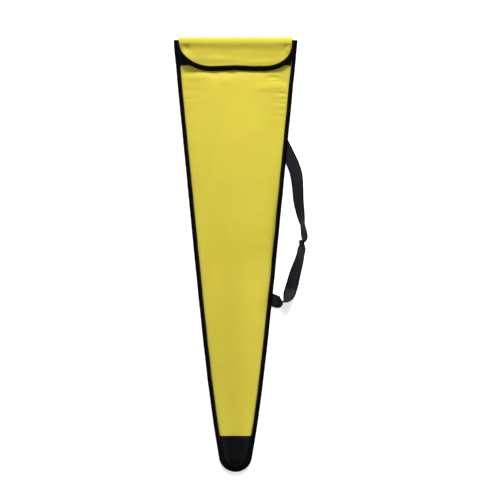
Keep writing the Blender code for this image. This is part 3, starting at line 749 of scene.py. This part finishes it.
# tape folded over an edge: path(t) gives an edge point and the inward direction there
def foldedTape(name, steps, path, middle, half, tapeWidth):
    cells = binding["roundCells"] + 2 * binding["legCells"]
    legs = binding["legCells"]

    def put(u, v):
        (x, down), (nx, nd) = path(v)
        column = round(u * cells)
        width = tapeWidth + wave(x, down, *binding["widthWave"])
        if column < legs:
            inset, rise = mix(width, half, column / legs), -half
        elif column > cells - legs:
            inset, rise = mix(width, half, (cells - column) / legs), half
        else:
            turn = -pi / 2 + pi * (column - legs) / binding["roundCells"]
            inset, rise = half * (1 - cos(turn)), half * sin(turn)
        px, pd = x + nx * inset, down + nd * inset
        return px, pd, middle(px, pd) + rise + wave(px, pd, *binding["rippleWave"])

    piece = clothGrid(name, cells, steps, put)
    return thicken(piece, bag["tape"], 1)


def outlineLength(path, steps=400):
    total, last = 0.0, None
    for step in range(steps + 1):
        point = path(step / steps)[0]
        if last:
            total += hypot(point[0] - last[0], point[1] - last[1])
        last = point
    return total


# the bag's outline from the mouth down the left side, round the toe and up the right
def sidePath(t):
    step = t * sideSteps
    right = 1 if step > sideSteps / 2 else -1
    fromTop = min(step, sideSteps - step)
    if fromTop <= binding["sideSteps"]:
        down = mix(bag["bindingTop"], sideEnd, fromTop / binding["sideSteps"])
        angle = lean(down)
        x = halfWidth(down)
    else:
        share = 2 * (fromTop - binding["sideSteps"]) / binding["arcSteps"]
        angle = mix(bag["toeTurn"], pi / 2, share)
        x = bag["toeRadius"] * cos(angle)
        down = toeMiddle + bag["toeRadius"] * sin(angle)
    x += wave(right * binding["sidesApart"], down, *binding["edgeWave"])
    return (right * x, down), (-right * cos(angle), -sin(angle))


# the flap's outline: a short way down each side, round the corners and along the end
def flapPath(t):
    step = t * flapSteps
    right = 1 if step > flapSteps / 2 else -1
    side, cornerX, power = bag["flapCorners"][right]
    fromTop = min(step, flapSteps - step)
    toCorner, corner = binding["flapSideSteps"], binding["flapCornerSteps"]
    cornerY = flapLength - side
    start = bag["bindingTop"]
    if fromTop < toCorner:
        return (right * flapHalf, mix(start, max(side, start), fromTop / toCorner)), (-right, 0.0)
    if fromTop <= toCorner + corner:
        turn = pi / 2 * (fromTop - toCorner) / corner
        c, d = cos(turn) ** (2 / power), sin(turn) ** (2 / power)
        x = right * (flapHalf - cornerX + cornerX * c)
        nx, nd = c ** (power - 1) / cornerX, d ** (power - 1) / cornerY
        size = hypot(nx, nd)
        return (x, max(start, side + cornerY * d)), (-right * nx / size, -nd / size)
    share = (step - toCorner - corner) / binding["flapEndSteps"]
    left, reach = [flapHalf - bag["flapCorners"][which][1] for which in (-1, 1)]
    turns = (share - binding["endMiddle"]) * binding["endTurns"]
    end = flapLength - binding["endInset"] - binding["endWave"] * sin(share * pi) * cos(turns * pi)
    return (mix(-left, reach, share), end), (0.0, -1.0)


def seamMiddle(x, down):
    return seamHeight(down)


def flapMiddle(x, down):
    return flapUnder(x, down) + bag["cloth"] / 2


tapeLook = {"width": 0.022, "rib": binding["rib"], "yarn": 0.0011, "darkEdge": 0.03,
            "colours": ((0.2, "020203"), (0.8, "070709")), "edge": "030304", "relief": 0.5,
            "reliefDepth": 0.0003, "wornMm": 25, "roughness": 0.82, "specular": 0.06, "ior": 1.25}


def makeBindings():
    piece = foldedTape("sideBinding", sideSteps, sidePath, seamMiddle, seamHalf,
                       bag["bindingWidth"])
    look = dict(tapeLook, length=outlineLength(sidePath))
    tape = wovenTape("sideBindingTape", look)
    finishPiece(piece, tape, "bag", "black_binding_tape", "edge_binding")
    piece = foldedTape("flapBinding", flapSteps, flapPath, flapMiddle, flapEdgeHalf,
                       bag["flapBindingWidth"])
    look = dict(tapeLook, length=outlineLength(flapPath))
    tape = wovenTape("flapBindingTape", look)
    finishPiece(piece, tape, "flap", "black_binding_tape", "flap_binding")


# mouth band, hook tape and loop tape
closure = {"hook": 0.0010, "columns": 120, "rows": 8}


# a narrow tape across the bag where its CAD node lies, on the face that surface gives
def flatStrip(name, node, surface, thickness, toSeams=False):
    low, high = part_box(node)
    start, end = topY - high.y, topY - low.y

    def put(u, v):
        down = mix(end, start, v)
        half = halfWidth(down) - bag["seamWidth"] if toSeams else high.x
        x = mix(-half, half, u)
        return x, down, surface(x, down) + thickness

    piece = clothGrid(name, closure["columns"], closure["rows"], put)
    return thicken(piece, thickness, -1), high.x - low.x, end - start


def makeClosure():
    gap, hook = bag["gap"], closure["hook"]

    def onFront(x, down):
        return frontTop(x, down) + gap

    def onBand(x, down):
        return frontTop(x, down) + 2 * gap + bag["webbing"]

    def underFlap(x, down):
        return flapUnder(x, down) - gap - hook

    piece, wide, tall = flatStrip("mouthBand", "mouth_band", onFront, bag["webbing"], True)
    look = dict(webbingLook, length=tall, width=wide, rib=0.0022, yarn=0.0022, darkEdge=0.0001,
                colours=((0.2, "0b0c10"), (0.8, "14151c")), edge="0b0c10", specular=0.1)
    finishPiece(piece, wovenTape("mouthWebbing", look), "bag", "charcoal_webbing", "mouth_band")
    piece = flatStrip("loopTape", "loop_tape", onBand, hook)[0]
    finishPiece(piece, loopTapeNylon, "bag", "black_hook_and_loop", "loop_tape")
    piece = flatStrip("hookTape", "hook_tape", underFlap, hook)[0]
    finishPiece(piece, hookTapeNylon, "flap", "black_hook_and_loop", "hook_tape")


# carry strap: one length of webbing, sewn under the back at both ends
webbingLook = {"width": bag["webbingWidth"], "rib": 0.0026, "yarn": 0.0030, "darkEdge": 0.08,
               "colours": ((0.2, "0c0d11"), (0.8, "1b1c22")), "edge": "040405", "relief": 0.7,
               "reliefDepth": 0.0003, "wornMm": 25, "roughness": 0.72, "specular": 0.15, "ior": 1.35}
strap = {
    "cells": 9,
    "columns": 12,
    # the webbing is creased lengthwise where it turns over
    "kinkDown": 0.4975,
    "kinkReach": 0.0110,
    "cup": 0.0125,
    "cupPower": 1.6,
}


def smoothRoute(points, cells):  # a Catmull-Rom curve through the route's points
    made = []
    for index in range(len(points) - 1):
        a, b = points[max(0, index - 1)], points[index]
        c, d = points[index + 1], points[min(len(points) - 1, index + 2)]
        for step in range(cells):
            t = step / cells
            made.append([0.5 * (2 * q + (r - p) * t + (2 * p - 5 * q + 4 * r - s) * t ** 2
                                + (3 * q - p - 3 * r + s) * t ** 3)
                         for p, q, r, s in zip(a, b, c, d)])
    made.append(list(points[-1]))
    return made


def makeStrap():
    route = smoothRoute(strapPoints, strap["cells"])
    rows = len(route) - 1
    runs = [hypot(b[0] - a[0], b[1] - a[1]) for a, b in zip(route, route[1:])]

    def put(u, v):
        row = round(v * rows)
        x, down, roll = route[row]
        before, after = route[max(0, row - 1)], route[min(rows, row + 1)]
        run = hypot(after[0] - before[0], after[1] - before[1])
        sideX, sideDown = (after[1] - before[1]) / run, -(after[0] - before[0]) / run
        turn = radians(roll)
        cup = strap["cup"] * bump(down, strap["kinkDown"], strap["kinkReach"])
        halfReach = (bag["webbingWidth"] ** 2 / 4 - cup ** 2) ** 0.5
        reach = (2 * u - 1) * halfReach
        bulge = cup * (1 - abs(2 * u - 1) ** strap["cupPower"])
        middle = bag["strapGround"] + bag["webbing"] / 2 + halfReach * abs(sin(turn))
        flat = reach * cos(turn) - bulge * sin(turn)
        rise = reach * sin(turn) + bulge * cos(turn)
        return x + sideX * flat, down + sideDown * flat, middle + rise

    piece = clothGrid("carryStrap", strap["columns"], rows, put)
    thicken(piece, bag["webbing"], 0)
    piece.data.materials.append(wovenTape("strapWebbing", dict(webbingLook, length=sum(runs))))
    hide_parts("strap_webbing", "strap_upper_end", "strap_lower_end")
    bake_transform(piece)
    print("strap length", round(sum(runs), 3))


# stitches
stitch = {
    "pitch": 0.0038,
    "length": 0.0030,
    "radius": 0.00032,
    "fromEdge": 0.0019,  # row on a binding, out from its inner edge
    "onTape": 0.0001,  # lift over a tape or the webbing
    "onCloth": 0.0002,
    "boxMiddle": 0.017,  # middle of a box of stitching, from the strap's end
    "boxHalf": (0.013, 0.011),
    "box": ((-1, -1), (-1, 1), (1, 1), (1, -1), (-1, -1), (1, 1), (1, -1), (-1, 1)),
}


def stitchRow(name, points):  # single stitches of thread along a line of points
    bpy.ops.object.select_all(action="DESELECT")
    bpy.ops.mesh.primitive_uv_sphere_add(segments=6, ring_count=4, radius=1)
    model = bpy.context.object
    form = bmesh.new()
    spent, due = 0.0, stitch["pitch"] / 2
    for a, b in zip(points, points[1:]):
        a, b = Vector(a), Vector(b)
        run = (b - a).length
        while run and spent + run >= due:
            spot = a.lerp(b, (due - spent) / run)
            turn = (b - a).to_track_quat("Z", "Y").to_matrix().to_4x4()
            size = Matrix.Diagonal((stitch["radius"], stitch["radius"], stitch["length"] / 2, 1))
            start = len(form.verts)
            form.from_mesh(model.data)
            form.verts.ensure_lookup_table()
            bmesh.ops.transform(form, matrix=Matrix.Translation(spot) @ turn @ size,
                                verts=form.verts[start:])
            due += stitch["pitch"]
        spent += run
    mesh = bpy.data.meshes.new(name)
    form.to_mesh(mesh)
    form.free()
    bpy.data.objects.remove(model, do_unlink=True)
    piece = bpy.data.objects.new(name, mesh)
    bpy.context.scene.collection.objects.link(piece)
    mesh.shade_smooth()
    return piece


# points along a folded tape, near its inner edge, on its upper leg
def tapeRow(path, middle, half, width, steps=900):
    points = []
    for step in range(steps + 1):
        (x, down), (nx, nd) = path(step / steps)
        reach = width - stitch["fromEdge"]
        px, pd = x + nx * reach, down + nd * reach
        points.append((px, topY - pd, middle(px, pd) + (half + stitch["onTape"])))
    return points


def acrossRow(node, lift, steps=160):  # points across the bag where a row of CAD stitching lies
    low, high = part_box(node)
    down = topY - (low.y + high.y) / 2
    points = []
    for step in range(steps + 1):
        x = mix(low.x, high.x, step / steps)
        at = down - toeArch(x, down)
        points.append((x, topY - at, frontTop(x, at) + lift))
    return points


def makeStitches():
    onCloth = stitch["onCloth"]
    rows = (
        ("bindingStitches", "bag", "binding_stitching",
         tapeRow(sidePath, seamMiddle, seamHalf, bag["bindingWidth"])),
        ("flapStitches", "flap", "flap_stitching",
         tapeRow(flapPath, flapMiddle, flapEdgeHalf, bag["flapBindingWidth"])),
        ("mouthStitches", "bag", "mouth_stitching",
         acrossRow("mouth_stitching", bag["gap"] + bag["webbing"] + onCloth)),
        ("toeStitches", "bag", "toe_stitching", acrossRow("toe_stitching", onCloth)),
    )
    for name, body, node, points in rows:
        finishPiece(stitchRow(name, points), blackThread, body, "black_thread", node)
    for name, node, first, last in (
            ("upperBoxStitches", "upper_end_stitching", strapPoints[0], strapPoints[2]),
            ("lowerBoxStitches", "lower_end_stitching", strapPoints[-1], strapPoints[-3])):
        along = Vector((last[0] - first[0], last[1] - first[1])).normalized()
        side = Vector((along.y, -along.x))
        middle = Vector(first[:2]) + along * stitch["boxMiddle"]
        halfLength, halfAcross = stitch["boxHalf"]
        corners = []
        for a, b in stitch["box"]:
            spot = middle + along * halfLength * a + side * halfAcross * b
            corners.append((spot.x, topY - spot.y, bag["strapGround"] - stitch["onTape"]))
        finishPiece(stitchRow(name, corners), blackThread, "bag", "black_thread", node)


# backing patches
patch = {"bevel": 0.0003, "weld": 0.00001}


# squares of the same cloth inside the back that take the pull of the strap
def makePatches():
    for name, node in (("upperPatch", "upper_backing_patch"), ("lowerPatch", "lower_backing_patch")):
        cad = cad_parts[node]
        activate(cad)
        bpy.ops.object.duplicate()
        piece = bpy.context.object
        piece.parent = None
        piece.name = name
        for key in list(piece.keys()):
            del piece[key]
        weld(piece, patch["weld"])
        applyModifier(piece, "BEVEL", width=patch["bevel"], segments=2)
        finishPiece(piece, yellowCloth, "bag", "yellow_coated_cloth", node)


makeFront()
print("front cloth made")
makeBack()
makeToe()
print("back, flap and toe made")
makeBindings()
makeClosure()
print("bindings and closure made")
makeStrap()
makeStitches()
makePatches()
print("strap, stitches and patches made")


# floor, light and camera
studio = {
    "floor": "f4f4f4",
    "floorSize": 16,
    "floorDrop": 0.0002,
    "floorGlow": 0.35,
    "floorRoughness": 0.9,
    "floorSpecular": 0.1,
    "world": 0.10,
    # name, place, aim, size, power
    "lights": (
        ("headSoftbox", (0.5, 7.4, 4.1), (0.03, 0.1, 0), (6.0, 2.7), 1620),
        ("leftStrip", (-1.9, 0.1, 0.30), (0, 0.1, 0.02), (2.4, 0.3), 24),
        ("rightStrip", (1.9, 0.1, 0.30), (0, 0.1, 0.02), (2.4, 0.3), 22),
        ("overheadSoftbox", (0.0, -0.6, 3.6), (0, -0.1, 0), (3.0, 2.0), 46),
    ),
    "camera": (0.035, 0.011, 3.2),
    "frameWidth": 1.21,
}


def makeStudio():
    bpy.ops.object.select_all(action="DESELECT")
    bpy.ops.mesh.primitive_plane_add(size=studio["floorSize"], location=(0, 0, -studio["floorDrop"]))
    floor = bpy.context.object
    floor.name = "floor"
    made, tree, shader = newMaterial("glowingMatteFloor")
    shader.inputs["Base Color"].default_value = srgb(studio["floor"])
    shader.inputs["Roughness"].default_value = studio["floorRoughness"]
    shader.inputs["Specular IOR Level"].default_value = studio["floorSpecular"]
    # the floor glows a little: it stays white where the bag's shadows would fall and lights the bag
    # faintly from below
    shader.inputs["Emission Color"].default_value = (1, 1, 1, 1)
    shader.inputs["Emission Strength"].default_value = studio["floorGlow"]
    floor.data.materials.append(made)
    world = bpy.data.worlds.new("softSurround")
    bpy.context.scene.world = world
    world.use_nodes = True
    world.node_tree.nodes["Background"].inputs["Color"].default_value = (1, 1, 1, 1)
    world.node_tree.nodes["Background"].inputs["Strength"].default_value = studio["world"]
    for name, spot, aim, size, power in studio["lights"]:
        bpy.ops.object.light_add(type="AREA", location=spot)
        lamp = bpy.context.object
        lamp.name = name
        lamp.data.shape = "RECTANGLE"
        lamp.data.size, lamp.data.size_y = size
        lamp.data.energy = power
        lamp.rotation_euler = (Vector(aim) - Vector(spot)).to_track_quat("-Z", "Y").to_euler()
    bpy.ops.object.camera_add(location=studio["camera"], rotation=(0, 0, 0))
    camera = bpy.context.object
    camera.data.lens = camera.data.sensor_width * studio["camera"][2] / studio["frameWidth"]
    bpy.context.scene.camera = camera
    bpy.context.scene.view_settings.view_transform = "Standard"


makeStudio()
print("studio made")

bpy.context.view_layer.update()
